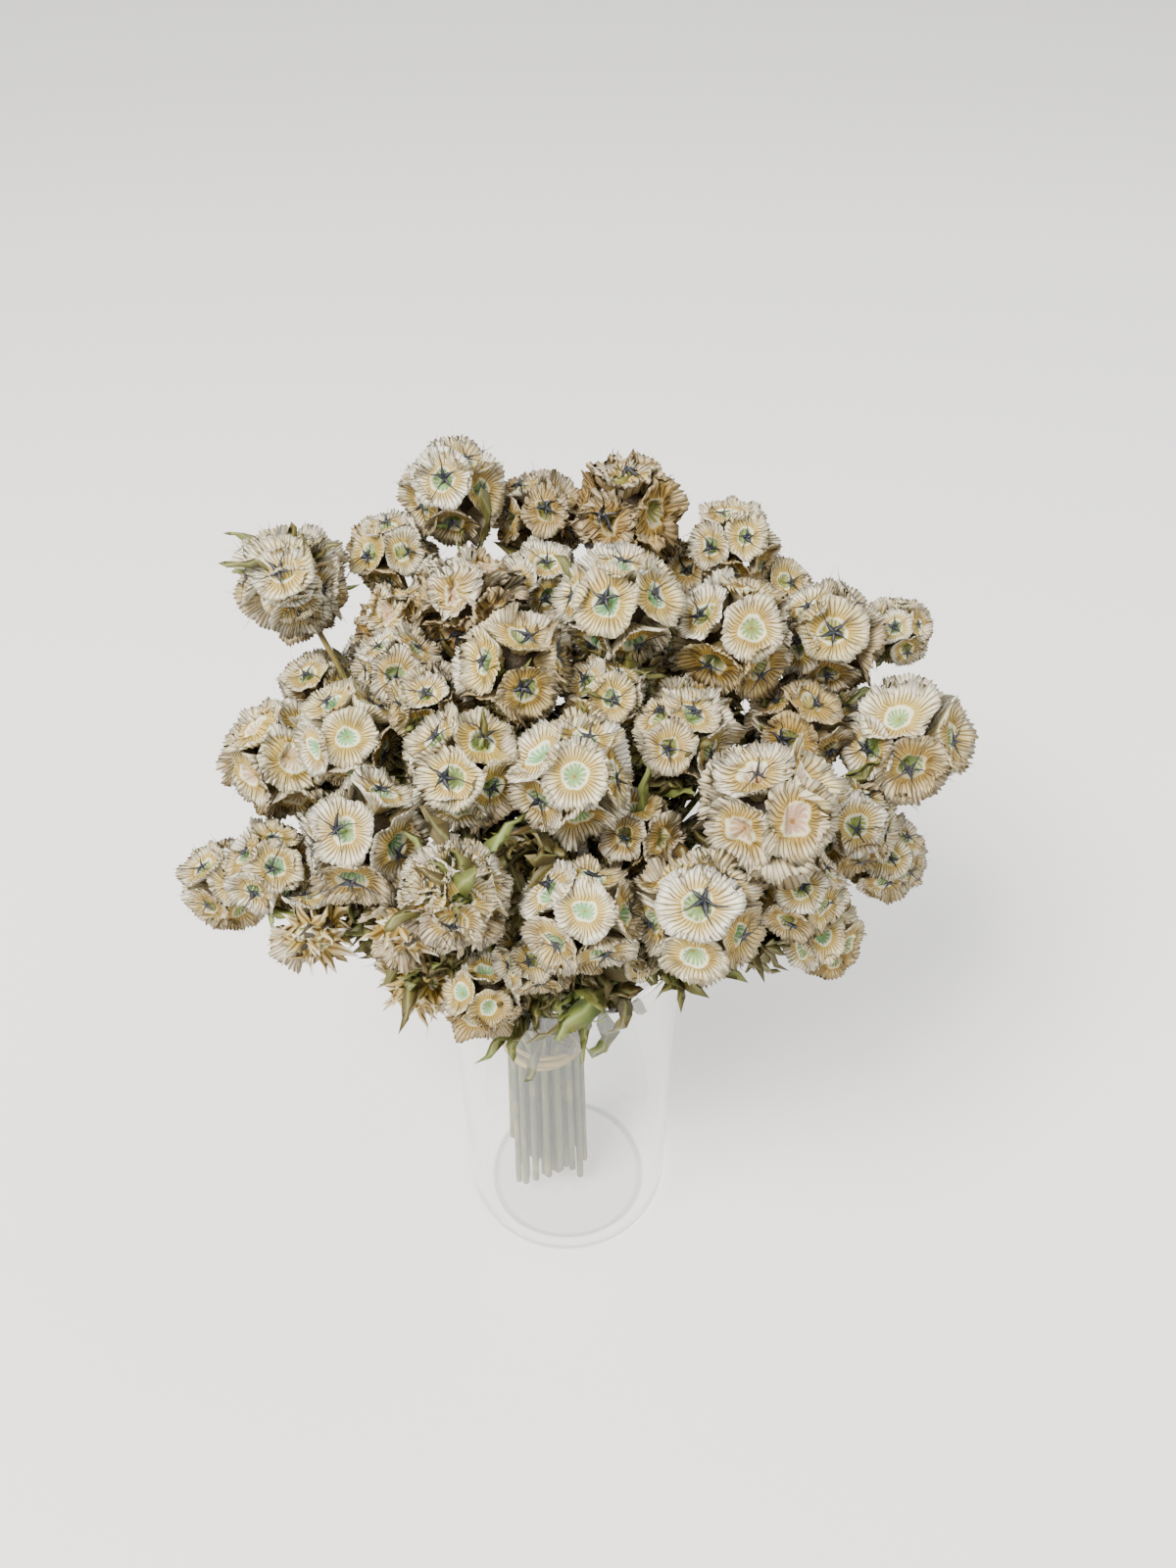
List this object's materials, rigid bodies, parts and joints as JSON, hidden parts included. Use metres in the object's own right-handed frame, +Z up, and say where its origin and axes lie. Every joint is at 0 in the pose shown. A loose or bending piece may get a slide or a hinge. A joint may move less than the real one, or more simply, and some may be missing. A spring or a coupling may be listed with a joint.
{
  "type": "dried scabiosa pods in vase",
  "caption": "Bunch of dried scabiosa seed heads, balls of pleated papery cups with dark star centres on thin green stems, banded together and standing in a straight clear glass vase",
  "frame": {"origin": "the middle of the vase's flat foot, on the surface it stands on", "axes": "+Z is up along the vase's axis, -Y is the front, where the stems lean out lowest towards the viewer, and +X is to the viewer's right"},
  "size_m": [0.241, 0.1914, 0.266],
  "materials": {
    "glass": "clear, polished",
    "pod": "dry, matt, finely ribbed",
    "husk": "dry, matt, crumpled",
    "stem": "dried, matt, slightly ribbed",
    "tie": "matt fibre band"
  },
  "bodies": {
    "root": {"vase": "glass", "tie": "tie", "head_01": "pod", "head_02": "pod", "head_03": "pod", "head_04": "pod", "head_05": "pod", "head_06": "pod", "head_07": "pod", "head_08": "pod", "head_09": "pod", "head_10": "pod", "head_11": "pod", "head_12": "pod", "head_13": "pod", "head_14": "pod", "head_15": "pod", "head_16": "pod", "head_17": "pod", "head_18": "pod", "head_19": "pod", "head_20": "pod", "head_21": "pod", "head_22": "pod", "head_23": "pod", "head_24": "pod", "head_25": "pod", "head_26": "pod", "head_27": "pod", "head_28": "pod", "head_29": "pod", "head_30": "pod", "head_31": "husk", "head_32": "pod", "head_33": "pod", "head_34": "pod", "head_35": "pod", "head_36": "pod", "head_37": "pod", "head_38": "husk", "head_39": "husk", "head_40": "husk", "head_41": "pod", "head_42": "pod", "head_43": "pod", "head_44": "pod", "head_45": "pod", "head_46": "pod", "head_47": "pod", "head_48": "pod", "head_49": "pod", "head_50": "pod", "head_51": "pod", "head_52": "pod", "stems_01": "stem", "stems_02": "stem", "stems_03": "stem", "stems_04": "stem", "stems_05": "stem", "stems_06": "stem"}
  },
  "joints": []
}
